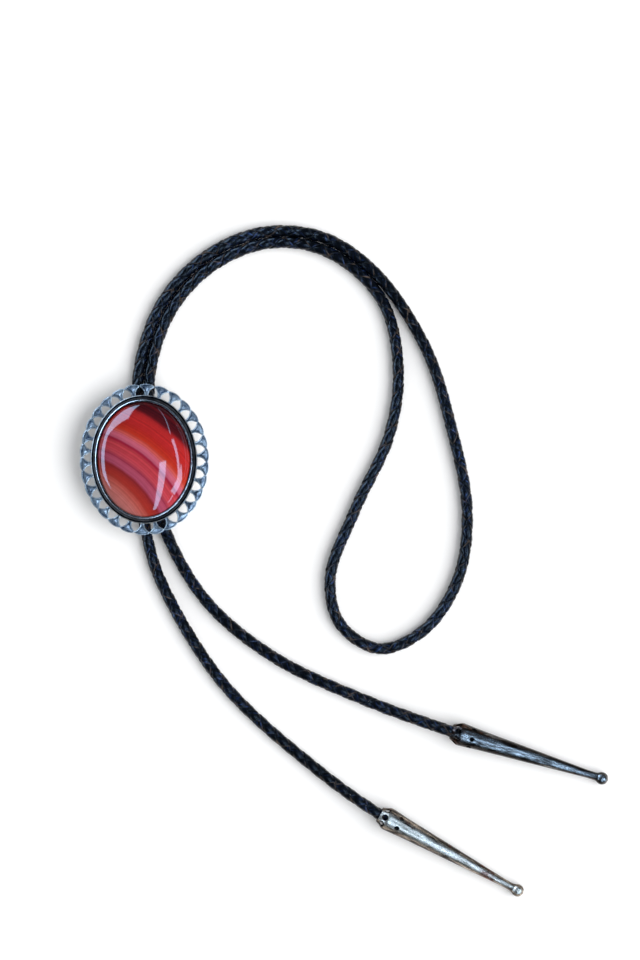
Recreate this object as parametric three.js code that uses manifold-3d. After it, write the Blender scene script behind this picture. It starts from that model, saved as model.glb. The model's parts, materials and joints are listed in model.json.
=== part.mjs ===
// Bolo tie lying flat: an oval banded stone in a pierced, scalloped metal slide, on one
// braided leather cord that ends in two hollow metal tips.
// Millimetres, +Z up. The surface it lies on is z = 0, the origin is under the middle of
// the slide, and +Y runs along the slide's long axis towards the loop that goes round the neck.

import * as THREE from 'three';
import { mergeVertices } from 'three/addons/utils/BufferGeometryUtils.js';
import Module from 'manifold-3d';

const clearance = 0.3;

const cordDiameter = 4.3;
const cordSides = 10;
const cordSteps = 80;

const stone = {
  halfWidth: 17.5,
  halfLength: 21.7,
  girdle: 2.2,
  dome: 5.3,
  chamfer: 0.4,
  crownPower: 2.5,
  shoulderPower: 0.6,
  ringPower: 0.8,
  rings: 7,
  segments: 40,
};
const plate = { bottom: 7.0, thickness: 1.4 };
const gallery = {
  openings: 30,
  firstOpening: -0.8,
  middle: 4.1,
  notch: 6.1,
  lobe: 6.9,
  lobeRises: [0, 0.62, 0.93, 0.93, 0.62],
};
const bezel = { segments: 60 };
const clip = {
  length: 16,
  height: 6.7,
  wall: 0.9,
  corner: 2.0,
  cornerSegments: 5,
  channelHalfWidth: 5.05,
};
const tip = { sides: 20, holeSides: 8, drillLength: 4, drillMiddle: 4 };

// Route of the cord's middle, from the end in the left tip to the end in the right tip.
// columns: x, y, z
const cordRoute = [
  [94.6, -143.9, 4.05],
  [84.3, -137.7, 4.47],
  [62.0, -120.8, 2.5],
  [26.5, -86.0, 2.3],
  [4.3, -46.5, 2.3],
  [-0.5, -28.5, 2.4],
  [-2.4, -9.0, 3.35],
  [-2.35, 9.0, 3.35],
  [-1.1, 35.4, 2.3],
  [8.05, 59.0, 2.3],
  [24.8, 76.0, 2.3],
  [47.0, 84.85, 2.3],
  [70.35, 82.25, 2.3],
  [90.0, 68.1, 2.3],
  [107.8, 39.2, 2.3],
  [116.5, 9.0, 2.3],
  [121.6, -24.0, 2.3],
  [117.2, -49.5, 2.3],
  [104.0, -68.2, 2.3],
  [86.5, -75.0, 2.3],
  [72.0, -65.3, 2.3],
  [68.7, -47.5, 2.3],
  [79.0, -22.0, 2.3],
  [93.0, 6.0, 2.3],
  [97.3, 30.0, 2.3],
  [93.0, 54.5, 2.3],
  [81.0, 70.0, 2.3],
  [65.15, 79.0, 2.3],
  [47.0, 80.1, 2.3],
  [27.5, 72.15, 2.3],
  [12.3, 56.8, 2.3],
  [3.5, 34.8, 2.3],
  [2.3, 9.0, 3.35],
  [2.6, -9.0, 3.35],
  [7.8, -30.2, 2.4],
  [22.0, -55.5, 2.3],
  [46.5, -77.0, 2.3],
  [80.0, -94.2, 2.5],
  [112.7, -107.2, 4.47],
  [124.0, -111.2, 4.05],
];

// Cross-section of the bezel: `out` is the distance outside the stone's girdle.
// columns: out, z
const bezelSection = [
  [2.5, 7.8],
  [2.5, 9.2],
  [2.1, 10.6],
  [1.3, 11.7],
  [0.6, 12.0],
  [0.2, 11.9],
  [0.15, 11.6],
  [0.3, 11.2],
  [0.3, 7.8],
];

// Half of one arched opening of the gallery, from its foot at the bezel to its point.
// columns: half-width, distance outside the stone's girdle
const archOutline = [
  [1.3, 2.6],
  [1.5, 3.4],
  [1.3, 4.2],
  [0.8, 5.1],
  [0.0, 5.65],
];

// Outside of a tip, from its crimped mouth to its ball. columns: along, radius
const tipOutside = [
  [0.0, 2.95],
  [1.0, 3.35],
  [3.2, 4.35],
  [5.0, 4.3],
  [11.4, 3.8],
  [31.0, 2.75],
  [43.5, 2.05],
  [56.0, 1.45],
  [58.0, 1.6],
  [59.0, 2.15],
  [60.2, 2.35],
  [61.6, 1.8],
  [62.5, 0.0],
];

// Inside of a tip, from the end of its hollow back to the mouth. columns: along, radius
const tipInside = [
  [34.0, 0.0],
  [32.0, 1.6],
  [11.4, 3.2],
  [3.4, 3.65],
  [1.0, 2.75],
  [0.0, 2.45],
];

// Rings of holes punched round a tip near its mouth.
// columns: count, along, diameter, turn as a share of the holes' spacing
const tipHoles = [
  [8, 1.95, 2.4, 0.2],
  [6, 7.8, 1.9, 0.25],
];

const wasm = await Module();
wasm.setup();

function solidFrom(geometry) {
  const bare = geometry.clone();
  bare.deleteAttribute('normal');
  bare.deleteAttribute('uv');
  const merged = mergeVertices(bare, 1e-4);
  return new wasm.Manifold(
    new wasm.Mesh({
      numProp: 3,
      vertProperties: new Float32Array(merged.attributes.position.array),
      triVerts: new Uint32Array(merged.index.array),
    }),
  );
}

function geometryFrom(solid) {
  const mesh = solid.getMesh();
  const geometry = new THREE.BufferGeometry();
  geometry.setAttribute('position', new THREE.BufferAttribute(mesh.vertProperties, 3));
  geometry.setIndex(new THREE.BufferAttribute(mesh.triVerts, 1));
  geometry.computeVertexNormals();
  return geometry;
}

function finish(color, roughness, metalness) {
  return new THREE.MeshStandardMaterial({ color, roughness, metalness });
}

// Point outside the stone's oval by `out`, at an angle from +X.
function ovalPoint(angle, out) {
  return new THREE.Vector2(
    (stone.halfWidth + out) * Math.cos(angle),
    (stone.halfLength + out) * Math.sin(angle),
  );
}

// Angles that cut the oval through the middle of the gallery into equal lengths, from the top round.
function evenAngles(count, start) {
  const samples = 1440;
  const angleAt = (i) => (i / samples) * 2 * Math.PI + Math.PI / 2;
  const lengths = [0];
  for (let i = 1; i <= samples; i += 1) {
    const from = ovalPoint(angleAt(i - 1), gallery.middle);
    const to = ovalPoint(angleAt(i), gallery.middle);
    lengths.push(lengths[i - 1] + from.distanceTo(to));
  }
  const total = lengths[samples];
  const angles = [];
  let at = 0;
  for (let i = 0; i < count; i += 1) {
    const wanted = (i / count) * total + start;
    while (lengths[at + 1] < wanted) at += 1;
    angles.push(angleAt(at));
  }
  return angles;
}

// The scalloped plate with its arched openings, lying flat from plate.bottom up.
function galleryPlate() {
  const angles = evenAngles(gallery.openings, -gallery.firstOpening);
  const outline = [];
  angles.forEach((angle, i) => {
    const next = i + 1 < angles.length ? angles[i + 1] : angles[0] + 2 * Math.PI;
    gallery.lobeRises.forEach((rise, k) => {
      const out = gallery.notch + rise * (gallery.lobe - gallery.notch);
      outline.push(ovalPoint(angle + ((next - angle) * k) / gallery.lobeRises.length, out));
    });
  });
  const shape = new THREE.Shape(outline);
  for (const angle of angles) {
    const foot = ovalPoint(angle, 0);
    const outward = new THREE.Vector2(
      Math.cos(angle) / stone.halfWidth,
      Math.sin(angle) / stone.halfLength,
    ).normalize();
    const across = new THREE.Vector2(-outward.y, outward.x);
    const place = (side, out) =>
      foot.clone().addScaledVector(outward, out).addScaledVector(across, side);
    const left = archOutline.map(([side, out]) => place(side, out));
    const right = archOutline.slice(0, -1).map(([side, out]) => place(-side, out));
    shape.holes.push(new THREE.Path([...left, ...right.reverse()]));
  }
  const geometry = new THREE.ExtrudeGeometry(shape, {
    depth: plate.thickness,
    bevelEnabled: false,
  });
  return geometry.translate(0, 0, plate.bottom);
}

// A ring of the given cross-section, following the stone's oval.
function ovalRing(section, segments) {
  const profile = section.map(([out, z]) => new THREE.Vector2(stone.halfWidth + out, z));
  profile.push(profile[0].clone());
  const ring = new THREE.LatheGeometry(profile, segments);
  const position = ring.attributes.position;
  for (let i = 0; i < position.count; i += 1) {
    const angle = Math.atan2(position.getX(i), position.getZ(i));
    const out = Math.hypot(position.getX(i), position.getZ(i)) - stone.halfWidth;
    const place = ovalPoint(angle, out);
    position.setXYZ(i, place.x, place.y, position.getY(i));
  }
  return ring;
}

function makeSetting() {
  const solid = solidFrom(galleryPlate()).add(solidFrom(ovalRing(bezelSection, bezel.segments)));
  const mesh = new THREE.Mesh(geometryFrom(solid), finish(0x7f8c9a, 0.38, 1.0));
  mesh.name = 'setting';
  return mesh;
}

function makeCabochon() {
  const { halfWidth, chamfer, rings, ringPower, crownPower, shoulderPower } = stone;
  const profile = [new THREE.Vector2(0, 0), new THREE.Vector2(halfWidth - chamfer, 0)];
  profile.push(new THREE.Vector2(halfWidth, chamfer));
  for (let i = 0; i <= rings; i += 1) {
    const across = Math.cos((i / rings) * (Math.PI / 2)) ** ringPower;
    const height = stone.dome * (1 - across ** crownPower) ** shoulderPower;
    profile.push(new THREE.Vector2(halfWidth * across, stone.girdle + height));
  }
  profile[profile.length - 1].x = 0;
  const geometry = new THREE.LatheGeometry(profile, stone.segments);
  geometry.rotateX(Math.PI / 2);
  geometry.scale(1, stone.halfLength / halfWidth, 1);
  const mesh = new THREE.Mesh(geometry, finish(0xb0383a, 0.12, 0.0));
  mesh.name = 'cabochon';
  mesh.position.z = plate.bottom + plate.thickness + clearance;
  return mesh;
}

// A flat-bottomed tube with one wide channel for both strands of the cord, side by side.
function makeCordClip() {
  const { height, wall, corner, cornerSegments, channelHalfWidth, length } = clip;
  const half = channelHalfWidth + wall;
  const body = new THREE.Shape();
  body.moveTo(-half + corner, 0);
  body.lineTo(half - corner, 0);
  body.absarc(half - corner, corner, corner, -Math.PI / 2, 0);
  body.lineTo(half, height - corner);
  body.absarc(half - corner, height - corner, corner, 0, Math.PI / 2);
  body.lineTo(-half + corner, height);
  body.absarc(-half + corner, height - corner, corner, Math.PI / 2, Math.PI);
  body.lineTo(-half, corner);
  body.absarc(-half + corner, corner, corner, Math.PI, Math.PI * 1.5);
  const bore = height / 2 - wall;
  const channel = new THREE.Path();
  channel.absarc(channelHalfWidth - bore, height / 2, bore, -Math.PI / 2, Math.PI / 2);
  channel.absarc(-channelHalfWidth + bore, height / 2, bore, Math.PI / 2, Math.PI * 1.5);
  body.holes.push(channel);
  const geometry = new THREE.ExtrudeGeometry(body, {
    depth: length,
    bevelEnabled: false,
    curveSegments: cornerSegments,
  });
  geometry.translate(0, 0, -length / 2);
  geometry.rotateX(Math.PI / 2);
  const mesh = new THREE.Mesh(geometry, finish(0x8d9298, 0.4, 1.0));
  mesh.name = 'cord_clip';
  return mesh;
}

function makeCord() {
  const points = cordRoute.map(([x, y, z]) => new THREE.Vector3(x, y, z));
  const path = new THREE.CatmullRomCurve3(points, false, 'centripetal');
  const section = new THREE.Shape();
  for (let i = 0; i < cordSides; i += 1) {
    const angle = ((i + 0.5) / cordSides) * 2 * Math.PI;
    const x = (cordDiameter / 2) * Math.cos(angle);
    const y = (cordDiameter / 2) * Math.sin(angle);
    if (i === 0) section.moveTo(x, y);
    else section.lineTo(x, y);
  }
  section.closePath();
  const geometry = new THREE.ExtrudeGeometry(section, { steps: cordSteps, extrudePath: path });
  const mesh = new THREE.Mesh(geometry, finish(0x15171c, 0.45, 0.0));
  mesh.name = 'cord';
  return mesh;
}

// A ring of radial drills round the tip's axis, which runs along +Y from the mouth.
function drillRing([count, along, diameter, turn]) {
  const drills = [];
  for (let i = 0; i < count; i += 1) {
    const radius = diameter / 2;
    const drill = new THREE.CylinderGeometry(radius, radius, tip.drillLength, tip.holeSides);
    drill.rotateX(Math.PI / 2);
    drill.translate(0, along, tip.drillMiddle);
    drill.rotateY(((i + turn) / count) * 2 * Math.PI);
    drills.push(solidFrom(drill));
  }
  return drills;
}

// The hollow cone at an end of the cord: `mouth` and `inner` are where the cord goes in and ends.
function makeTip(name, mouth, inner, color, roughness) {
  const section = [...tipOutside, ...tipInside, tipOutside[0]];
  const profile = section.map(([along, radius]) => new THREE.Vector2(radius, along));
  let solid = solidFrom(new THREE.LatheGeometry(profile, tip.sides));
  for (const drill of tipHoles.flatMap(drillRing)) solid = solid.subtract(drill);
  const mesh = new THREE.Mesh(geometryFrom(solid), finish(color, roughness, 1.0));
  const from = new THREE.Vector3(...mouth);
  const axis = new THREE.Vector3(...inner).sub(from).normalize();
  mesh.position.copy(from);
  mesh.quaternion.setFromUnitVectors(new THREE.Vector3(0, 1, 0), axis);
  mesh.name = name;
  return mesh;
}

const boloTie = new THREE.Group();
boloTie.add(makeSetting());
boloTie.add(makeCabochon());
boloTie.add(makeCordClip());
boloTie.add(makeCord());
boloTie.add(makeTip('tip_left', cordRoute[1], cordRoute[0], 0xa3a5a6, 0.35));
boloTie.add(makeTip('tip_right', cordRoute.at(-2), cordRoute.at(-1), 0x6d7378, 0.4));

export default boloTie;
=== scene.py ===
import json
import math

import bmesh
import bpy
from mathutils import Matrix, Vector, noise

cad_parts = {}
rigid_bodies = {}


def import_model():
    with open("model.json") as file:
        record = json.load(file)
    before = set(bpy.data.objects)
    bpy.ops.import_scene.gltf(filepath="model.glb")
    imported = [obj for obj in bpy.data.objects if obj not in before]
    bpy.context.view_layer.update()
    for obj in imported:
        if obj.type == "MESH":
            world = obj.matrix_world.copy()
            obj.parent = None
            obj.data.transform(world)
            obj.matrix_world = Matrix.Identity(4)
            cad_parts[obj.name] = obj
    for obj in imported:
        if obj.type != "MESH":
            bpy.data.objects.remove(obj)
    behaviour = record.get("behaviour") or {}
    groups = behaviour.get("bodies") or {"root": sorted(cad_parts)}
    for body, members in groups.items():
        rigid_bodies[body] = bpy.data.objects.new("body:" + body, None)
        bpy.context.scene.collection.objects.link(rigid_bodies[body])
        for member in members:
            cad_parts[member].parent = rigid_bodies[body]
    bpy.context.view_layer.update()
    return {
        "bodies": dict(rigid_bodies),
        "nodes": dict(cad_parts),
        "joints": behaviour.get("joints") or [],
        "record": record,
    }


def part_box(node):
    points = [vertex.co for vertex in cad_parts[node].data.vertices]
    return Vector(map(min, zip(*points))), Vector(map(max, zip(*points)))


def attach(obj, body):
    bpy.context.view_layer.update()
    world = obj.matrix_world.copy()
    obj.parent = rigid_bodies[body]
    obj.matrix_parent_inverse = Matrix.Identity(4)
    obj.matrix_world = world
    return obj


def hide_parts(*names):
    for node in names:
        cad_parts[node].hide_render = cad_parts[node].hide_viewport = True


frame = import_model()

scene = bpy.context.scene
mm = 0.001
mergeDistance = 0.001 * mm
upward = Vector((0, 0, 1))


def linearColor(hexText):
    channels = [int(hexText[i:i + 2], 16) / 255 for i in (1, 3, 5)]
    return tuple(c / 12.92 if c <= 0.04045 else ((c + 0.055) / 1.055) ** 2.4 for c in channels) + (1.0,)


def addNode(tree, kind, inputs=None, stops=None, **settings):
    made = tree.nodes.new(kind)
    for name, value in settings.items():
        setattr(made, name, value)
    for key, value in (inputs or {}).items():
        if isinstance(value, bpy.types.NodeSocket):
            tree.links.new(value, made.inputs[key])
        else:
            made.inputs[key].default_value = value
    if stops:
        ramp = made.color_ramp
        while len(ramp.elements) > 1:
            ramp.elements.remove(ramp.elements[0])
        for i, (place, hexText) in enumerate(stops):
            stop = ramp.elements[0] if i == 0 else ramp.elements.new(place)
            stop.position = place
            stop.color = linearColor(hexText)
    return made


def newMaterial(name):
    material = bpy.data.materials.new(name)
    material.use_nodes = True
    tree = material.node_tree
    return material, tree, tree.nodes["Principled BSDF"]


def meshObject(name, bm, material, smoothAngle=None):
    mesh = bpy.data.meshes.new(name)
    bm.to_mesh(mesh)
    bm.free()
    mesh.materials.append(material)
    if smoothAngle is not None:
        mesh.shade_smooth()
        mesh.set_sharp_from_angle(angle=math.radians(smoothAngle))
    obj = bpy.data.objects.new(name, mesh)
    scene.collection.objects.link(obj)
    return obj


def curveThrough(points, perSpan):
    # centripetal Catmull-Rom through the points, the kind of curve that the cord's solid follows
    points = [Vector(p) for p in points]
    padded = [2 * points[0] - points[1]] + points + [2 * points[-1] - points[-2]]
    samples = []
    for p0, p1, p2, p3 in zip(padded, padded[1:], padded[2:], padded[3:]):
        k1 = (p1 - p0).length ** 0.5
        k2 = k1 + (p2 - p1).length ** 0.5
        k3 = k2 + (p3 - p2).length ** 0.5
        for i in range(perSpan):
            t = k1 + (k2 - k1) * i / perSpan
            a1 = p0.lerp(p1, t / k1)
            a2 = p1.lerp(p2, (t - k1) / (k2 - k1))
            a3 = p2.lerp(p3, (t - k2) / (k3 - k2))
            b1 = a1.lerp(a2, t / k2)
            b2 = a2.lerp(a3, (t - k1) / (k3 - k1))
            samples.append(b1.lerp(b2, (t - k1) / (k2 - k1)))
    samples.append(points[-1])
    return samples


def lengthAlong(points):
    along = [0.0]
    for a, b in zip(points, points[1:]):
        along.append(along[-1] + (b - a).length)
    return along


def spunShape(profiles, steps):
    # each profile is a chain of (radius, height) points; together they close the shape round +Z
    bm = bmesh.new()
    chains = []
    for profile in profiles:
        verts = [bm.verts.new((radius, 0.0, height)) for radius, height in profile]
        chains += verts + [bm.edges.new(pair) for pair in zip(verts, verts[1:])]
    bmesh.ops.spin(bm, geom=chains, cent=(0, 0, 0), axis=(0, 0, 1), angle=math.tau, steps=steps,
                   use_merge=True)
    bmesh.ops.remove_doubles(bm, verts=bm.verts, dist=mergeDistance)
    bmesh.ops.recalc_face_normals(bm, faces=bm.faces)
    return bm


def vertsOf(made):
    return [g for g in made["geom"] if isinstance(g, bmesh.types.BMVert)]


def roundEdges(bm, edges, offset, segments):
    bmesh.ops.bevel(bm, geom=edges, offset=offset, offset_type="OFFSET", affect="EDGES",
                    segments=segments, profile=0.5, material=-1)


def turnedTowards(start, direction):
    # a matrix that turns one direction into another
    return start.rotation_difference(direction).to_matrix().to_4x4()


def keepLocal(bm):
    # remembers where each point was before the piece was placed, in millimetres, for its material
    layer = bm.verts.layers.float_vector.new("local")
    for vert in bm.verts:
        vert[layer] = vert.co / mm


# looking straight down on the tie, with its neck loop at the top
camera = {
    "lens": 100.0,
    "frameHeight": 364.8 * mm,   # of what the frame takes in, at the aim
    "aim": (66.1 * mm, -10.1 * mm, 3 * mm),
    "roll": -2.0,                # degrees
}


def makeCamera():
    data = bpy.data.cameras.new("camera")
    data.lens = camera["lens"]
    distance = camera["frameHeight"] * data.lens / data.sensor_width
    obj = bpy.data.objects.new("camera", data)
    obj.location = Vector(camera["aim"]) + Vector((0, 0, distance))
    obj.rotation_euler = (0, 0, math.radians(camera["roll"]))
    scene.collection.objects.link(obj)
    scene.camera = obj


makeCamera()
print("camera placed")


# the cord, braided from four flat laces
cord = {
    "diameter": 4.3 * mm,
    "pitch": 14.5 * mm,          # one lace once round the cord
    "laceThickness": 0.8 * mm,
    "coverage": 0.93,            # how much of its share of the surface a lace covers
    "middleRadius": 1.5 * mm,
    "weave": 0.4 * mm,           # how far a lace rises over and dips under the next
    "flatness": 0.45,            # under 1, a lace stays high over its neighbour and then dives
    "stepsPerPitch": 24,
    "lacesEachWay": 2,
    "samplesPerSpan": 40,        # between two points of the route
    "startTwist": 40,            # degrees
    "unevenThickness": 0.12,     # share of the lace's thickness, over thicknessRun
    "thicknessRun": 4 * mm,
    "unevenWidth": 0.05,         # share of the lace's width, over widthRun
    "widthRun": 9 * mm,
    "laceShift": 1000,           # keeps the laces' patterns apart, in millimetres along them
}

# how the braid twists and untwists as it lies; columns: radians, run, phase
cordTwists = [(1.1, 75 * mm, 0), (0.7, 43 * mm, 2)]

# The cord's middle, from inside the left tip to inside the right one. Where it runs doubled, the
# two strands lie a little closer than their solids do, so that their laces touch.
cordRoute = [
    (0.0946, -0.1439, 0.00405), (0.0843, -0.1377, 0.00447), (0.0620, -0.1208, 0.0025),
    (0.0265, -0.0860, 0.0023), (0.0043, -0.0465, 0.0023), (-0.0005, -0.0285, 0.0024),
    (-0.0024, -0.0090, 0.00335), (-0.00235, 0.0090, 0.00335), (-0.00100, 0.03540, 0.0023),
    (0.00815, 0.05895, 0.0023), (0.02487, 0.07590, 0.0023), (0.04700, 0.08473, 0.0023),
    (0.07029, 0.08214, 0.0023), (0.0898, 0.06795, 0.0023), (0.1078, 0.0392, 0.0023),
    (0.1165, 0.0090, 0.0023), (0.1216, -0.0240, 0.0023), (0.1172, -0.0495, 0.0023),
    (0.1040, -0.0682, 0.0023), (0.0865, -0.0750, 0.0023), (0.0720, -0.0653, 0.0023),
    (0.0687, -0.0475, 0.0023), (0.0790, -0.0220, 0.0023), (0.0930, 0.0060, 0.0023),
    (0.0973, 0.0300, 0.0023), (0.0933, 0.0547, 0.0023), (0.08125, 0.07025, 0.0023),
    (0.06522, 0.07911, 0.0023), (0.04700, 0.08022, 0.0023), (0.02743, 0.07225, 0.0023),
    (0.0122, 0.05685, 0.0023), (0.0034, 0.0348, 0.0023), (0.0023, 0.0090, 0.00335),
    (0.0026, -0.0090, 0.00335), (0.0078, -0.0302, 0.0024), (0.0220, -0.0555, 0.0023),
    (0.0465, -0.0770, 0.0023), (0.0800, -0.0942, 0.0025), (0.1127, -0.1072, 0.00447),
    (0.1240, -0.1112, 0.00405),
]

# columns: across, thickness, as fractions of the lace's half width and half thickness
laceSection = [
    (-1.0, -0.1), (-0.96, 0.6), (-0.78, 0.92), (0.0, 1.0), (0.78, 0.92), (0.96, 0.6),
    (1.0, -0.1), (0.7, -0.9), (0.0, -1.0), (-0.7, -0.9),
]


leather = {
    "streaksAlong": 0.35,        # to the millimetre
    "streaksAcross": 5.0,        # to the lace's width
    # how often the painted sheen grows stronger and weaker, to the millimetre
    "paintedSheenPerMm": 0.014,
    "patchesPerMm": 0.26,
    "grainPerMm": 2.2,
    "grainDepth": 0.05 * mm,
    "edgeStart": 0.38,           # from the lace's middle, where 0.5 is its edge
}


def blackBraidedLeather():
    # chrome-tanned lace, dyed black and rolled smooth: a soft satin gloss, a cool blue painted highlight in
    # the colour of its streaks, painted stronger and weaker in patches along the cord, and paler, browner
    # cut edges where the dye has rubbed off
    material, tree, shader = newMaterial("black_braided_leather")
    uv = addNode(tree, "ShaderNodeUVMap", uv_map="lace")
    split = addNode(tree, "ShaderNodeSeparateXYZ", {"Vector": uv.outputs["UV"]})
    coords = addNode(tree, "ShaderNodeTexCoord")
    streakPlace = addNode(tree, "ShaderNodeMapping",
                          {"Vector": uv.outputs["UV"],
                           "Scale": (leather["streaksAlong"], leather["streaksAcross"], 1.0)})
    streaks = addNode(tree, "ShaderNodeTexNoise",
                      {"Vector": streakPlace.outputs["Vector"], "Scale": 1.0, "Detail": 4.0,
                       "Roughness": 0.6})
    # painted highlight: the ramp's bluest stops paint a sky-blue sheen into the black along the streaks
    dyeAndPaintedSheen = addNode(tree, "ShaderNodeValToRGB", {"Fac": streaks.outputs["Fac"]},
                  stops=[(0.35, "#000001"), (0.5, "#020408"), (0.6, "#0a1122"), (0.74, "#243a66")])
    # painted sheen: slow patches along the cord brighten and darken the black and its painted blue sheen,
    # standing in for light that falls unevenly on the strands
    paintedSheenPatches = addNode(tree, "ShaderNodeTexNoise",
                     {"Vector": coords.outputs["Object"], "Scale": leather["paintedSheenPerMm"] / mm,
                      "Detail": 2.0})
    paintedSheenStrength = addNode(tree, "ShaderNodeMapRange",
                    {"Value": paintedSheenPatches.outputs["Fac"], "From Min": 0.38, "From Max": 0.62,
                     "To Min": 0.4, "To Max": 1.8})
    dyeWithPaintedSheen = addNode(tree, "ShaderNodeVectorMath",
                     {0: dyeAndPaintedSheen.outputs["Color"], "Scale": paintedSheenStrength.outputs[0]}, operation="SCALE")
    across = addNode(tree, "ShaderNodeMath", {0: split.outputs["Y"], 1: 0.5}, operation="SUBTRACT")
    fromMiddle = addNode(tree, "ShaderNodeMath", {0: across.outputs[0]}, operation="ABSOLUTE")
    edge = addNode(tree, "ShaderNodeMapRange",
                   {"Value": fromMiddle.outputs[0], "From Min": leather["edgeStart"], "From Max": 0.5})
    patches = addNode(tree, "ShaderNodeTexNoise",
                      {"Vector": coords.outputs["Object"], "Scale": leather["patchesPerMm"] / mm,
                       "Detail": 3.0})
    patchy = addNode(tree, "ShaderNodeMapRange",
                     {"Value": patches.outputs["Fac"], "From Min": 0.5, "From Max": 0.75})
    wear = addNode(tree, "ShaderNodeMath",
                   {0: edge.outputs[0], 1: patchy.outputs[0]}, operation="MULTIPLY")
    color = addNode(tree, "ShaderNodeMixRGB",
                    {"Fac": wear.outputs[0], "Color1": dyeWithPaintedSheen.outputs[0],
                     "Color2": linearColor("#6b5a4c")})
    grain = addNode(tree, "ShaderNodeTexNoise",
                    {"Vector": coords.outputs["Object"], "Scale": leather["grainPerMm"] / mm,
                     "Detail": 2.0})
    gloss = addNode(tree, "ShaderNodeMapRange",
                    {"Value": streaks.outputs["Fac"], "From Min": 0.3, "From Max": 0.7,
                     "To Min": 0.32, "To Max": 0.16})
    rough = addNode(tree, "ShaderNodeMath",
                    {0: edge.outputs[0], 1: 0.5, 2: gloss.outputs[0]}, operation="MULTIPLY_ADD")
    bump = addNode(tree, "ShaderNodeBump",
                   {"Height": grain.outputs["Fac"], "Strength": 0.25, "Distance": leather["grainDepth"]})
    tree.links.new(color.outputs["Color"], shader.inputs["Base Color"])
    tree.links.new(rough.outputs[0], shader.inputs["Roughness"])
    tree.links.new(bump.outputs["Normal"], shader.inputs["Normal"])
    shader.inputs["Specular IOR Level"].default_value = 0.22
    return material


def framesAlong(route, along, steps):
    # the point, the way ahead, the side and the upper side at even steps along the route
    frames = []
    at = 0
    for i in range(steps + 1):
        wanted = along[-1] * i / steps
        while at < len(along) - 2 and along[at + 1] < wanted:
            at += 1
        share = (wanted - along[at]) / (along[at + 1] - along[at])
        here = route[at].lerp(route[at + 1], share)
        ahead = (route[min(at + 2, len(route) - 1)] - route[max(at - 1, 0)]).normalized()
        side = ahead.cross(upward).normalized()
        frames.append((here, ahead, side, side.cross(ahead)))
    return frames


def laceRing(bm, frame, s, turn, k):
    # one lace's section at a distance s along the cord; turn says which way round it winds
    here, ahead, side, up = frame
    rate = math.tau / cord["pitch"]
    middle = cord["middleRadius"]
    slope = math.atan(rate * middle)
    halfWidth = cord["coverage"] * math.pi / cord["lacesEachWay"] * middle * math.cos(slope)
    start = k * math.tau / cord["lacesEachWay"]
    twist = math.radians(cord["startTwist"])
    for swing, run, phase in cordTwists:
        twist += swing * math.sin(s / run + phase)
    unevenness = noise.noise(Vector((s / cord["thicknessRun"], k * 7.0, turn * 3.0)))
    thickness = 1 + cord["unevenThickness"] * unevenness
    ring = []
    for across, thick in laceSection:
        width = 1 + cord["unevenWidth"] * noise.noise(Vector((s / cord["widthRun"], k, turn)))
        lateral = across * halfWidth * width
        ds = -turn * lateral * math.sin(slope)
        phi = turn * rate * s + start + lateral * math.cos(slope) / middle
        wave = turn * math.cos(phi + turn * rate * (s + ds) - start)
        wave = math.copysign(abs(wave) ** cord["flatness"], wave)
        radius = middle + cord["weave"] * wave + thick * thickness * cord["laceThickness"] / 2
        angle = phi + twist
        offset = side * math.cos(angle) * radius + up * math.sin(angle) * radius
        ring.append(bm.verts.new(here + ahead * ds + offset))
    return ring


def makeCord():
    route = curveThrough(cordRoute, cord["samplesPerSpan"])
    along = lengthAlong(route)
    total = along[-1]
    steps = round(total / cord["pitch"] * cord["stepsPerPitch"])
    frames = framesAlong(route, along, steps)
    bm = bmesh.new()
    uvLayer = bm.loops.layers.uv.new("lace")
    for turn in (1, -1):
        for k in range(cord["lacesEachWay"]):
            shift = cord["laceShift"] * (k + turn / 2)
            rings = [laceRing(bm, frame, total * i / steps, turn, k) for i, frame in enumerate(frames)]
            for i, pair in enumerate(zip(rings, rings[1:])):
                for j in range(len(laceSection)):
                    n = (j + 1) % len(laceSection)
                    corners = [(0, j), (0, n), (1, n), (1, j)]
                    if turn > 0:
                        corners = corners[1:] + corners[:1]  # the diagonal then runs along the lace
                    face = bm.faces.new([pair[row][col] for row, col in corners])
                    for loop, (row, col) in zip(face.loops, corners):
                        u = total * (i + row) / steps / mm + shift
                        loop[uvLayer].uv = (u, laceSection[col][0] / 2 + 0.5)
            bm.faces.new(rings[0])
            bm.faces.new(list(reversed(rings[-1])))
    bmesh.ops.recalc_face_normals(bm, faces=bm.faces)
    obj = meshObject("braided_cord", bm, blackBraidedLeather(), smoothAngle=60)
    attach(obj, "root")
    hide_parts("cord")


makeCord()
print("cord braided")


# white paper under the tie, a window to one side and sky in what shines
table = {"side": 8.0, "color": "#fbfbfb", "roughness": 0.9}
room = {"walls": 0.54, "zenith": "#46566b", "middle": "#39424e", "horizon": "#84888d"}
window = {"azimuth": -14, "elevation": 38, "angle": 70, "strength": 3.45}  # angles in degrees

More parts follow.
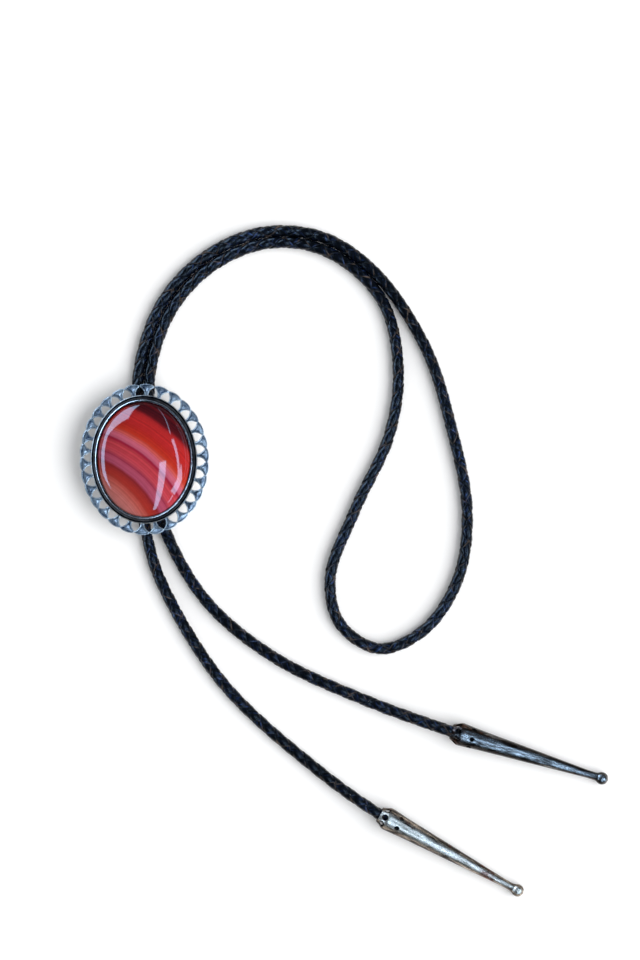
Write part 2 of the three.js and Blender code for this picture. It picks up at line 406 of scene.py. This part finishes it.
# sky panels a metre above the table, in metres and degrees, seen only by what shines
skyColor = (0.45, 0.68, 1.0)
skyPanels = [
    {"middle": (-2.50, 2.35, 1.0), "length": 4.10, "width": 3.20, "turn": 0, "radiance": 9.0},
    {"middle": (-3.10, -0.05, 1.0), "length": 2.80, "width": 1.60, "turn": 0, "radiance": 9.0},
    {"middle": (0.27, -0.84, 1.0), "length": 1.65, "width": 0.15, "turn": -86, "radiance": 9.0},
    {"middle": (0.80, -0.02, 1.0), "length": 0.75, "width": 0.15, "turn": -62, "radiance": 9.0},
    {"middle": (1.28, -0.68, 1.0), "length": 1.00, "width": 0.68, "turn": -40, "radiance": 9.0},
    {"middle": (1.18, -1.40, 1.0), "length": 0.70, "width": 0.15, "turn": -80, "radiance": 9.0},
    {"middle": (1.05, 2.10, 1.0), "length": 3.50, "width": 0.04, "turn": 75, "radiance": 7.0},
    {"middle": (2.80, 0.50, 1.0), "length": 3.00, "width": 0.14, "turn": 90, "radiance": 7.0},
]


def makeTable():
    # matt white paper, so pale and even that only the shadows show on it
    material, tree, shader = newMaterial("white_paper")
    shader.inputs["Base Color"].default_value = linearColor(table["color"])
    shader.inputs["Roughness"].default_value = table["roughness"]
    bm = bmesh.new()
    bmesh.ops.create_grid(bm, x_segments=1, y_segments=1, size=table["side"] / 2)
    obj = meshObject("table_top", bm, material)


def makeLight():
    # even white walls light the scene, while what shines sees a dimmer room with sky panels in it
    env = bpy.data.worlds.new("room")
    env.use_nodes = True
    tree = env.node_tree
    coords = addNode(tree, "ShaderNodeTexCoord")
    split = addNode(tree, "ShaderNodeSeparateXYZ", {"Vector": coords.outputs["Generated"]})
    shade = addNode(tree, "ShaderNodeValToRGB", {"Fac": split.outputs["Z"]},
                    stops=[(0.0, room["horizon"]), (0.3, room["middle"]), (1.0, room["zenith"])])
    rays = addNode(tree, "ShaderNodeLightPath")
    seen = addNode(tree, "ShaderNodeMixRGB",
                   {"Fac": rays.outputs["Is Glossy Ray"], "Color1": (room["walls"],) * 3 + (1.0,),
                    "Color2": shade.outputs["Color"]})
    background = tree.nodes["Background"]
    tree.links.new(seen.outputs["Color"], background.inputs["Color"])
    scene.world = env

    data = bpy.data.lights.new("window", "SUN")
    data.energy = window["strength"]
    data.angle = math.radians(window["angle"])
    obj = bpy.data.objects.new("window", data)
    az, el = math.radians(window["azimuth"]), math.radians(window["elevation"])
    towards = Vector((math.cos(az) * math.cos(el), math.sin(az) * math.cos(el), math.sin(el)))
    obj.rotation_euler = towards.to_track_quat("Z", "Y").to_euler()
    obj.visible_glossy = False
    scene.collection.objects.link(obj)

    for i, panel in enumerate(skyPanels):
        data = bpy.data.lights.new(f"sky_panel_{i}", "AREA")
        data.shape = "RECTANGLE"
        data.size, data.size_y = panel["length"], panel["width"]
        data.energy = panel["radiance"] * math.pi * panel["length"] * panel["width"]
        data.color = skyColor
        obj = bpy.data.objects.new(data.name, data)
        obj.matrix_world = (Matrix.Translation(panel["middle"])
                            @ Matrix.Rotation(math.radians(panel["turn"]), 4, "Z"))
        obj.visible_diffuse = False
        scene.collection.objects.link(obj)


makeTable()
makeLight()
scene.view_settings.view_transform = "Standard"
print("table and light set")


# the slide: stone, bezel, gallery of fans and back plate
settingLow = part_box("setting")[0]
stoneLow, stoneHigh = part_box("cabochon")
clipLow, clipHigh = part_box("cord_clip")

stone = {
    "halfWidth": stoneHigh.x,
    "halfLength": stoneHigh.y,
    "girdle": 2.2 * mm,
    "chamfer": 0.4 * mm,
    "crownPower": 2.5,           # over 2, the top is flatter than a ball's
    "shoulderPower": 0.6,        # over 0.5, the shoulder leans in a little
    "ringPower": 0.8,            # under 1, the rings crowd towards the girdle
    "rings": 40,
    "segments": 128,
}

bezel = {"segments": 144}

plate = {"inset": 0.1 * mm, "thickness": 1.2 * mm, "bevel": 0.25 * mm}

gallery = {
    "fans": 30,
    "firstOpening": -0.8 * mm,   # where the opening nearest the top stands along the rim
    "middle": 4.1 * mm,          # outside the stone, where the openings are evenly spaced
    "thickness": 1.4 * mm,
    "rim": 0.40 * mm,
    "recess": 0.55 * mm,
    "wall": 0.12 * mm,           # how far the recess's wall leans
    "crown": 0.3 * mm,           # how far the recess's floor rises to its middle
    "edge": 0.10 * mm,
}

# Right half of one fan, from its foot in the bezel to the top of its scallop.
# columns: half width, distance outside the stone, in millimetres
fanOutline = [
    (0.62, 2.2), (0.70, 2.8), (0.76, 3.4), (1.0, 4.05), (1.45, 4.7), (2.05, 5.2), (2.58, 5.55),
    (2.84, 5.85), (2.7, 6.2), (2.2, 6.55), (1.45, 6.8), (0.7, 6.92), (0.0, 6.95),
]

# Cross-section of the bezel, up its outside, over a groove and down behind its lip.
# columns: distance outside the stone and height, in millimetres, and whether the stretch up to
# here is rubbed bright
bezelSection = [
    (2.55, 7.6, 0), (2.55, 9.9, 0), (2.5, 10.3, 0), (2.36, 10.42, 1), (2.2, 10.3, 1), (2.05, 10.1, 0),
    (1.75, 10.5, 0), (1.35, 11.2, 0), (0.95, 11.6, 0), (0.8, 11.72, 0), (0.72, 11.93, 0),
    (0.6, 12.0, 1), (0.48, 11.93, 1), (0.4, 11.7, 0), (0.35, 11.2, 0), (0.3, 10.0, 0), (0.3, 7.6, 0),
]


def ovalPoint(angle, out):
    x = (stone["halfWidth"] + out) * math.cos(angle)
    y = (stone["halfLength"] + out) * math.sin(angle)
    return Vector((x, y, 0))


def toOval(bm):
    # a round shape about the stone's half width becomes the slide's oval, with its walls as thick
    for vert in bm.verts:
        angle = math.atan2(vert.co.y, vert.co.x)
        place = ovalPoint(angle, math.hypot(vert.co.x, vert.co.y) - stone["halfWidth"])
        vert.co.x, vert.co.y = place.x, place.y


def evenAngles(count, start):
    # angles that cut the oval through the middle of the gallery into equal lengths
    samples = 2880
    turns = [math.pi / 2 + math.tau * i / samples for i in range(samples + 1)]
    along = lengthAlong([ovalPoint(turn, gallery["middle"]) for turn in turns])
    angles = []
    for i in range(count):
        wanted = (along[-1] * i / count + start) % along[-1]
        angles.append(turns[next(n for n, value in enumerate(along) if value >= wanted)])
    return angles


castFinish = {
    "cloudsPerMm": 0.42,
    "pitsPerMm": 1.5,
    "pitDepth": 0.06 * mm,
    "waveDepth": 0.25 * mm,
    "toneSpread": 0.12,
}


def oxidisedSilver(name, bright, dark, roughness, darkShare):
    # cast silver, blackened with liver of sulphur and rubbed back: grey-blue with darker clouds,
    # finely pitted from the mould
    material, tree, shader = newMaterial(name)
    coords = addNode(tree, "ShaderNodeTexCoord")
    clouds = addNode(tree, "ShaderNodeTexNoise",
                     {"Vector": coords.outputs["Object"], "Scale": castFinish["cloudsPerMm"] / mm,
                      "Detail": 5.0, "Roughness": 0.65})
    spread = castFinish["toneSpread"]
    tone = addNode(tree, "ShaderNodeValToRGB", {"Fac": clouds.outputs["Fac"]},
                   stops=[(darkShare - spread, dark), (darkShare + spread, bright)])
    rough = addNode(tree, "ShaderNodeMapRange",
                    {"Value": clouds.outputs["Fac"],
                     "To Min": roughness + 0.12, "To Max": roughness - 0.08})
    pits = addNode(tree, "ShaderNodeTexNoise",
                   {"Vector": coords.outputs["Object"], "Scale": castFinish["pitsPerMm"] / mm,
                    "Detail": 3.0})
    bump = addNode(tree, "ShaderNodeBump",
                   {"Height": pits.outputs["Fac"], "Strength": 0.2, "Distance": castFinish["pitDepth"]})
    waves = addNode(tree, "ShaderNodeBump",
                    {"Height": clouds.outputs["Fac"], "Normal": bump.outputs["Normal"],
                     "Strength": 0.5, "Distance": castFinish["waveDepth"]})
    tree.links.new(tone.outputs["Color"], shader.inputs["Base Color"])
    tree.links.new(rough.outputs[0], shader.inputs["Roughness"])
    tree.links.new(waves.outputs["Normal"], shader.inputs["Normal"])
    shader.inputs["Metallic"].default_value = 1.0
    return material


# in millimetres on the stone's own plan
agate = {"center": (-32.2, -37.0, 0.0), "waver": 0.5, "waversPerMm": 0.11, "cloudsPerMm": 0.5}

# the stone's bands; columns: distance from the bands' far centre in millimetres, color
agateBands = [
    (28.0, "#a96a66"), (33.0, "#ae625e"), (35.0, "#a65048"), (36.6, "#a14038"), (37.4, "#952c22"),
    (39.4, "#8b251f"), (40.8, "#7a1f24"), (41.6, "#964058"), (43.4, "#9c4258"), (44.4, "#8a2c40"),
    (45.2, "#a63c48"), (46.8, "#a83640"), (48.9, "#a8363e"), (49.8, "#8e1c30"), (50.2, "#861430"),
    (50.7, "#a64c62"), (52.2, "#b4566a"), (53.4, "#b04a44"), (54.8, "#a82c18"), (57.0, "#9e2018"),
    (58.5, "#a2201f"), (62.4, "#9c2020"), (63.2, "#7c161a"), (63.9, "#4a0a10"), (66.0, "#34060c"),
    (67.2, "#4a0c12"), (67.8, "#2c0509"), (71.0, "#38080e"),
]


def bandedAgate():
    # carnelian-red banded agate, cut and polished as a cabochon: curved bands that all turn about
    # one far centre, faint layers within them, and a glassy top
    material, tree, shader = newMaterial("banded_agate")
    coords = addNode(tree, "ShaderNodeTexCoord")
    scaled = addNode(tree, "ShaderNodeVectorMath",
                     {0: coords.outputs["Object"], "Scale": 1 / mm}, operation="SCALE")
    waver = addNode(tree, "ShaderNodeTexNoise",
                    {"Vector": scaled.outputs[0], "Scale": agate["waversPerMm"], "Detail": 3.0})
    shift = addNode(tree, "ShaderNodeMapRange",
                    {"Value": waver.outputs["Fac"], "To Min": -agate["waver"], "To Max": agate["waver"]})
    flat = addNode(tree, "ShaderNodeVectorMath",
                   {0: scaled.outputs[0], 1: (1.0, 1.0, 0.0)}, operation="MULTIPLY")
    reach = addNode(tree, "ShaderNodeVectorMath",
                    {0: flat.outputs[0], 1: agate["center"]}, operation="DISTANCE")
    ring = addNode(tree, "ShaderNodeMath",
                   {0: reach.outputs["Value"], 1: shift.outputs[0]}, operation="ADD")
    first, last = agateBands[0][0], agateBands[-1][0] + 1  # a millimetre past the last stop
    place = addNode(tree, "ShaderNodeMapRange",
                    {"Value": ring.outputs[0], "From Min": first, "From Max": last})
    bands = addNode(tree, "ShaderNodeValToRGB", {"Fac": place.outputs[0]},
                    stops=[((radius - first) / (last - first), tone) for radius, tone in agateBands])
    layers = addNode(tree, "ShaderNodeTexNoise", {"W": ring.outputs[0], "Scale": 1.5, "Detail": 3.0},
                     noise_dimensions="1D")
    layered = addNode(tree, "ShaderNodeMapRange",
                      {"Value": layers.outputs["Fac"], "From Min": 0.3, "From Max": 0.7,
                       "To Min": 0.84, "To Max": 1.14})
    fine = addNode(tree, "ShaderNodeTexNoise",
                   {"Vector": scaled.outputs[0], "Scale": agate["cloudsPerMm"], "Detail": 6.0})
    cloudy = addNode(tree, "ShaderNodeMapRange",
                     {"Value": fine.outputs["Fac"], "To Min": 0.84, "To Max": 1.14})
    mottle = addNode(tree, "ShaderNodeMath",
                     {0: layered.outputs[0], 1: cloudy.outputs[0]}, operation="MULTIPLY")
    color = addNode(tree, "ShaderNodeVectorMath",
                    {0: bands.outputs["Color"], "Scale": mottle.outputs[0]}, operation="SCALE")
    tree.links.new(color.outputs[0], shader.inputs["Base Color"])
    shader.inputs["Roughness"].default_value = 0.05
    shader.inputs["IOR"].default_value = 1.54
    return material


def makeStone():
    low, high = stoneLow.z, stoneHigh.z
    dome = high - low - stone["girdle"]
    profile = [
        (0, low),
        (stone["halfWidth"] - stone["chamfer"], low),
        (stone["halfWidth"], low + stone["chamfer"]),
    ]
    for i in range(stone["rings"] + 1):
        across = math.cos(i / stone["rings"] * math.pi / 2) ** stone["ringPower"]
        rise = dome * (1 - across ** stone["crownPower"]) ** stone["shoulderPower"]
        profile.append((stone["halfWidth"] * across, low + stone["girdle"] + rise))
    profile[-1] = (0, high)
    bm = spunShape([profile], stone["segments"])
    bmesh.ops.scale(bm, vec=(1, stone["halfLength"] / stone["halfWidth"], 1), verts=bm.verts)
    obj = meshObject("agate_cabochon", bm, bandedAgate(), smoothAngle=50)
    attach(obj, "root")
    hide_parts("cabochon")


def makeBezel():
    section = [(stone["halfWidth"] + out * mm, z * mm) for out, z, _ in bezelSection]
    bm = spunShape([section + section[:1]], bezel["segments"])
    middles = [((a[0] + b[0]) / 2, (a[1] + b[1]) / 2) for a, b in zip(section, section[1:])]
    for face in bm.faces:
        middle = face.calc_center_median()
        here = (math.hypot(middle.x, middle.y), middle.z)
        nearest = min(range(len(middles)), key=lambda i: math.dist(here, middles[i]))
        face.material_index = bezelSection[nearest + 1][2]
    toOval(bm)
    darkSilver = oxidisedSilver("blackened_silver_bezel", "#3c4047", "#121417", 0.24, 0.5)
    obj = meshObject("slide_bezel", bm, darkSilver, smoothAngle=35)
    obj.data.materials.append(rimSilver)
    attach(obj, "root")
    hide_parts("setting")


def makeBackPlate(metal):
    bm = bmesh.new()
    bmesh.ops.create_circle(bm, cap_ends=True, segments=bezel["segments"],
                            radius=stone["halfWidth"] + bezelSection[0][0] * mm - plate["inset"])
    raised = bmesh.ops.extrude_face_region(bm, geom=list(bm.faces))
    bmesh.ops.translate(bm, vec=(0, 0, plate["thickness"]), verts=vertsOf(raised))
    toOval(bm)
    bmesh.ops.recalc_face_normals(bm, faces=bm.faces)
    rims = [e for e in bm.edges if abs(e.verts[0].co.z - e.verts[1].co.z) < mergeDistance]
    roundEdges(bm, rims, plate["bevel"], 3)
    bmesh.ops.translate(bm, vec=(0, 0, settingLow.z), verts=bm.verts)
    obj = meshObject("slide_back_plate", bm, metal, smoothAngle=35)
    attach(obj, "root")


def oneFan():
    half = [Vector((width, out, 0)) * mm for width, out in fanOutline]
    bm = bmesh.new()
    right = [bm.verts.new(p) for p in half]
    left = [bm.verts.new((-p.x, p.y, p.z)) for p in reversed(half[:-1])]
    base = bm.faces.new(right + left)
    raised = bmesh.ops.extrude_face_region(bm, geom=[base])
    bmesh.ops.translate(bm, vec=(0, 0, gallery["thickness"]), verts=vertsOf(raised))
    top = [g for g in raised["geom"] if isinstance(g, bmesh.types.BMFace)]
    if top[0].normal.z < 0:
        bmesh.ops.reverse_faces(bm, faces=bm.faces)
    bmesh.ops.recalc_face_normals(bm, faces=bm.faces)
    outer = list(top[0].edges)
    bmesh.ops.inset_region(bm, faces=top, thickness=gallery["rim"], depth=0, use_even_offset=True)
    inner = list(top[0].edges)
    wall = bmesh.ops.inset_region(bm, faces=top, thickness=gallery["wall"], depth=-gallery["recess"],
                                  use_even_offset=True)
    sunk = bmesh.ops.poke(bm, faces=top, offset=gallery["crown"])
    for face in wall["faces"] + sunk["faces"]:
        face.material_index = 1
    roundEdges(bm, outer + inner, gallery["edge"], 2)
    return bm


def makeGallery(metal, recessMetal):
    fan = oneFan()
    fanMesh = bpy.data.meshes.new("fan")
    fan.to_mesh(fanMesh)
    fan.free()
    bm = bmesh.new()
    openings = evenAngles(gallery["fans"], -gallery["firstOpening"])
    for angle, after in zip(openings, openings[1:] + [openings[0] + math.tau]):
        middle = (angle + after) / 2
        outward = Vector((math.cos(middle) / stone["halfWidth"], math.sin(middle) / stone["halfLength"], 0))
        before = len(bm.verts)
        bm.from_mesh(fanMesh)
        bm.verts.ensure_lookup_table()
        foot = ovalPoint(middle, 0) + upward * settingLow.z
        placed = Matrix.Translation(foot) @ turnedTowards(Vector((0, 1, 0)), outward.normalized())
        bmesh.ops.transform(bm, matrix=placed, verts=bm.verts[before:])
    bpy.data.meshes.remove(fanMesh)
    obj = meshObject("slide_gallery", bm, metal, smoothAngle=28)
    obj.data.materials.append(recessMetal)
    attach(obj, "root")


rimSilver = oxidisedSilver("rubbed_cast_silver", "#e3dfd8", "#989da2", 0.32, 0.44)
recessSilver = oxidisedSilver("oxidised_cast_silver", "#c6c5c3", "#454f60", 0.38, 0.47)
makeStone()
makeBezel()
makeBackPlate(rimSilver)
makeGallery(rimSilver, recessSilver)
print("slide set")


# the channel under the slide that holds both strands
clip = {"wall": 0.9 * mm, "corner": 2.0 * mm, "mouth": 0.18 * mm}


def makeClip():
    size = clipHigh - clipLow
    bm = bmesh.new()
    bmesh.ops.create_cube(bm, size=1)
    bmesh.ops.scale(bm, vec=size, verts=bm.verts)
    bmesh.ops.translate(bm, vec=(clipLow + clipHigh) / 2, verts=bm.verts)
    long = [e for e in bm.edges if abs((e.verts[0].co - e.verts[1].co).y) > size.y / 2]
    roundEdges(bm, long, clip["corner"], 8)
    ends = [f for f in bm.faces if abs(f.normal.y) > 0.9]
    bmesh.ops.inset_individual(bm, faces=ends, thickness=clip["wall"], use_even_offset=True)
    loops = [e for f in ends for e in f.edges]
    bmesh.ops.delete(bm, geom=ends, context="FACES_ONLY")
    bmesh.ops.bridge_loops(bm, edges=loops)
    bmesh.ops.recalc_face_normals(bm, faces=bm.faces)
    mouths = [e for e in bm.edges
              if abs(e.verts[0].co.y - e.verts[1].co.y) < mergeDistance and e.calc_face_angle(0) > 1]
    roundEdges(bm, mouths, clip["mouth"], 2)
    # nickel-plated brass, dulled and stained by handling
    plated = oxidisedSilver("nickel_plated_brass", "#b9b9b4", "#5d5a54", 0.32, 0.4)
    obj = meshObject("cord_channel", bm, plated, smoothAngle=35)
    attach(obj, "root")
    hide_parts("cord_clip")


makeClip()
print("clip made")


# the two hollow tips
tip = {
    "segments": 72,
    "samplesPerSpan": 5,         # between two points of the profile
    "drillSegments": 24,
    "drillLength": 4 * mm,
    "drillMiddle": 4 * mm,       # from the tip's axis
}

# rings of punched holes near the mouth; turn is a share of the holes' spacing
tipHoles = [
    {"count": 8, "along": 1.95 * mm, "radius": 1.2 * mm, "turn": 0.2},
    {"count": 6, "along": 7.8 * mm, "radius": 0.95 * mm, "turn": 0.25},
]

# from the mouth over the outside to the ball's end, then from the bottom of the hollow back
# columns: radius, distance from the mouth, in millimetres
tipOutside = [
    (2.95, 0.0), (3.35, 1.0), (4.35, 3.2), (4.3, 5.0), (3.8, 11.4), (2.75, 31.0), (2.05, 43.5),
    (1.45, 56.0), (1.6, 58.0), (2.15, 59.0), (2.35, 60.2), (1.8, 61.6), (0.0, 62.5),
]
tipInside = [
    (0.0, 34.0), (1.6, 32.0), (3.2, 11.4), (3.65, 3.4), (2.75, 1.0), (2.5, 0.15), (2.7, 0.0),
    (2.95, 0.0),
]

# The finish of each tip. The stains gather stainAt millimetres from its mouth, and the higher its
# patinaShare, the more of it is tarnished.
leftFinish = {
    "clean": "#ffe9d0",
    "patina": "#2c231b",
    "stain": "#6a2a1a",
    "stainAt": 47.0,
    "patinaShare": 0.485,
    "roughness": 0.24,
}
rightFinish = {
    "clean": "#b9b5b0",
    "patina": "#1a1511",
    "stain": "#4a2a1a",
    "stainAt": 2.0,
    "patinaShare": 0.555,
    "roughness": 0.13,
}

tipWear = {
    "stretch": 0.16,             # marks are six times as long along the tip as round it
    "cloudsPerMm": 0.9,
    "blotsPerMm": 0.32,
    "specksPerMm": 2.6,
    "scratchesPerMm": 7.0,
    "scratchDepth": 0.1 * mm,
    "stainReach": 6.0,           # millimetres along the tip
}


def wornSilverAndPaintedLight(name, finish):
    # hand-raised silver cone, worn by handling: a painted highlight along its upper side and painted shade
    # on its flanks, over dark tarnish, brown stains, most of them near one place along it, and fine
    # scratches
    material, tree, shader = newMaterial(name)
    local = addNode(tree, "ShaderNodeAttribute", attribute_name="local")
    long = addNode(tree, "ShaderNodeMapping",
                   {"Vector": local.outputs["Vector"], "Scale": (1.0, 1.0, tipWear["stretch"])})
    clouds = addNode(tree, "ShaderNodeTexNoise",
                     {"Vector": long.outputs["Vector"], "Scale": tipWear["cloudsPerMm"],
                      "Detail": 7.0, "Roughness": 0.68})
    topSide = addNode(tree, "ShaderNodeAttribute", attribute_name="topSide")
    # painted highlight and shade: the upper side is painted cleaner and brighter, the flanks darker, for
    # the light from above
    paintedTopLightAndFlankShade = addNode(tree, "ShaderNodeMapRange",
                      {"Value": topSide.outputs["Fac"], "From Min": 0.45, "From Max": 0.95,
                       "To Min": -0.14, "To Max": 0.06})
    tarnishWithPaintedLight = addNode(tree, "ShaderNodeMath",
                      {0: clouds.outputs["Fac"], 1: paintedTopLightAndFlankShade.outputs[0]}, operation="ADD")
    tone = addNode(tree, "ShaderNodeMapRange",
                   {"Value": tarnishWithPaintedLight.outputs[0], "From Min": finish["patinaShare"] - 0.12,
                    "From Max": finish["patinaShare"] + 0.14})
    metal = addNode(tree, "ShaderNodeMixRGB",
                    {"Fac": tone.outputs[0], "Color1": linearColor(finish["patina"]),
                     "Color2": linearColor(finish["clean"])})
    blots = addNode(tree, "ShaderNodeTexNoise",
                    {"Vector": local.outputs["Vector"], "Scale": tipWear["blotsPerMm"],
                     "Detail": 5.0, "Roughness": 0.7})
    split = addNode(tree, "ShaderNodeSeparateXYZ", {"Vector": local.outputs["Vector"]})
    past = addNode(tree, "ShaderNodeMath",
                   {0: split.outputs["Z"], 1: finish["stainAt"]}, operation="SUBTRACT")
    away = addNode(tree, "ShaderNodeMath", {0: past.outputs[0]}, operation="ABSOLUTE")
    nearer = addNode(tree, "ShaderNodeMapRange",
                     {"Value": away.outputs[0], "From Max": tipWear["stainReach"],
                      "To Min": 0.22, "To Max": 0.0})
    gathered = addNode(tree, "ShaderNodeMath",
                       {0: blots.outputs["Fac"], 1: nearer.outputs[0]}, operation="ADD")
    stained = addNode(tree, "ShaderNodeMapRange",
                      {"Value": gathered.outputs[0], "From Min": 0.58, "From Max": 0.72, "To Max": 0.8})
    color = addNode(tree, "ShaderNodeMixRGB",
                    {"Fac": stained.outputs[0], "Color1": metal.outputs["Color"],
                     "Color2": linearColor(finish["stain"])})
    specks = addNode(tree, "ShaderNodeTexNoise",
                     {"Vector": local.outputs["Vector"], "Scale": tipWear["specksPerMm"],
                      "Detail": 4.0, "Roughness": 0.7})
    pitted = addNode(tree, "ShaderNodeMapRange",
                     {"Value": specks.outputs["Fac"], "From Min": 0.36, "From Max": 0.62,
                      "To Min": 0.35, "To Max": 1.15})
    shown = addNode(tree, "ShaderNodeVectorMath",
                    {0: color.outputs["Color"], "Scale": pitted.outputs[0]}, operation="SCALE")
    scratches = addNode(tree, "ShaderNodeTexNoise",
                        {"Vector": long.outputs["Vector"], "Scale": tipWear["scratchesPerMm"],
                         "Detail": 4.0, "Roughness": 0.75})
    rough = addNode(tree, "ShaderNodeMapRange",
                    {"Value": clouds.outputs["Fac"], "From Min": 0.3, "From Max": 0.7,
                     "To Min": finish["roughness"] + 0.18, "To Max": finish["roughness"]})
    bump = addNode(tree, "ShaderNodeBump",
                   {"Height": scratches.outputs["Fac"], "Strength": 0.5,
                    "Distance": tipWear["scratchDepth"]})
    tree.links.new(shown.outputs[0], shader.inputs["Base Color"])
    tree.links.new(rough.outputs[0], shader.inputs["Roughness"])
    tree.links.new(bump.outputs["Normal"], shader.inputs["Normal"])
    shader.inputs["Metallic"].default_value = 1.0
    return material


def holeDrills():
    bm = bmesh.new()
    for row in tipHoles:
        for i in range(row["count"]):
            turn = math.tau * (i + row["turn"]) / row["count"]
            outward = Vector((math.sin(turn), -math.cos(turn), 0))
            middle = outward * tip["drillMiddle"] + upward * row["along"]
            bmesh.ops.create_cone(bm, cap_ends=True, segments=tip["drillSegments"], radius1=row["radius"],
                                  radius2=row["radius"], depth=tip["drillLength"],
                                  matrix=Matrix.Translation(middle) @ turnedTowards(upward, outward))
    mesh = bpy.data.meshes.new("drills")
    bm.to_mesh(mesh)
    bm.free()
    obj = bpy.data.objects.new("drills", mesh)
    scene.collection.objects.link(obj)
    return obj


def drilledTip(material):
    # a hollow cone along +Z from its mouth, cut by the drills
    profiles = []
    for outline in (tipOutside, tipInside):
        curve = curveThrough([(radius * mm, height * mm, 0) for radius, height in outline],
                             tip["samplesPerSpan"])
        profiles.append([(max(p.x, 0), p.y) for p in curve])
    blank = meshObject("tip_blank", spunShape(profiles, tip["segments"]), material)
    drills = holeDrills()
    cut = blank.modifiers.new("holes", "BOOLEAN")
    cut.object = drills
    cut.operation = "DIFFERENCE"
    cut.solver = "EXACT"
    cut.use_self = True
    drilled = bpy.data.meshes.new_from_object(blank.evaluated_get(bpy.context.evaluated_depsgraph_get()))
    bpy.data.objects.remove(drills)
    bpy.data.objects.remove(blank)
    bm = bmesh.new()
    bm.from_mesh(drilled)
    bmesh.ops.remove_doubles(bm, verts=bm.verts, dist=2 * mergeDistance)
    return bm


def makeTip(name, node, mouth, inner, material):
    bm = drilledTip(material)
    keepLocal(bm)
    axis = (Vector(inner) - Vector(mouth)).normalized()
    placed = Matrix.Translation(mouth) @ turnedTowards(upward, axis)
    bmesh.ops.transform(bm, matrix=placed, verts=bm.verts)
    # the upper side gets the painted highlight and the flanks the painted shade
    topSide = bm.verts.layers.float.new("topSide")  # 1 along the upper side, 0 on the flanks
    for vert in bm.verts:
        reach = vert.co - Vector(mouth)
        fromAxis = reach - axis * reach.dot(axis)
        vert[topSide] = fromAxis.z / max(fromAxis.length, 0.1 * mm)  # also safe on the axis itself
    obj = meshObject(name, bm, material, smoothAngle=35)
    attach(obj, "root")
    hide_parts(node)


makeTip("silver_tip_left", "tip_left", cordRoute[1], cordRoute[0],
        wornSilverAndPaintedLight("worn_silver_painted_light", leftFinish))
makeTip("silver_tip_right", "tip_right", cordRoute[-2], cordRoute[-1],
        wornSilverAndPaintedLight("blackened_silver", rightFinish))
print("tips made")
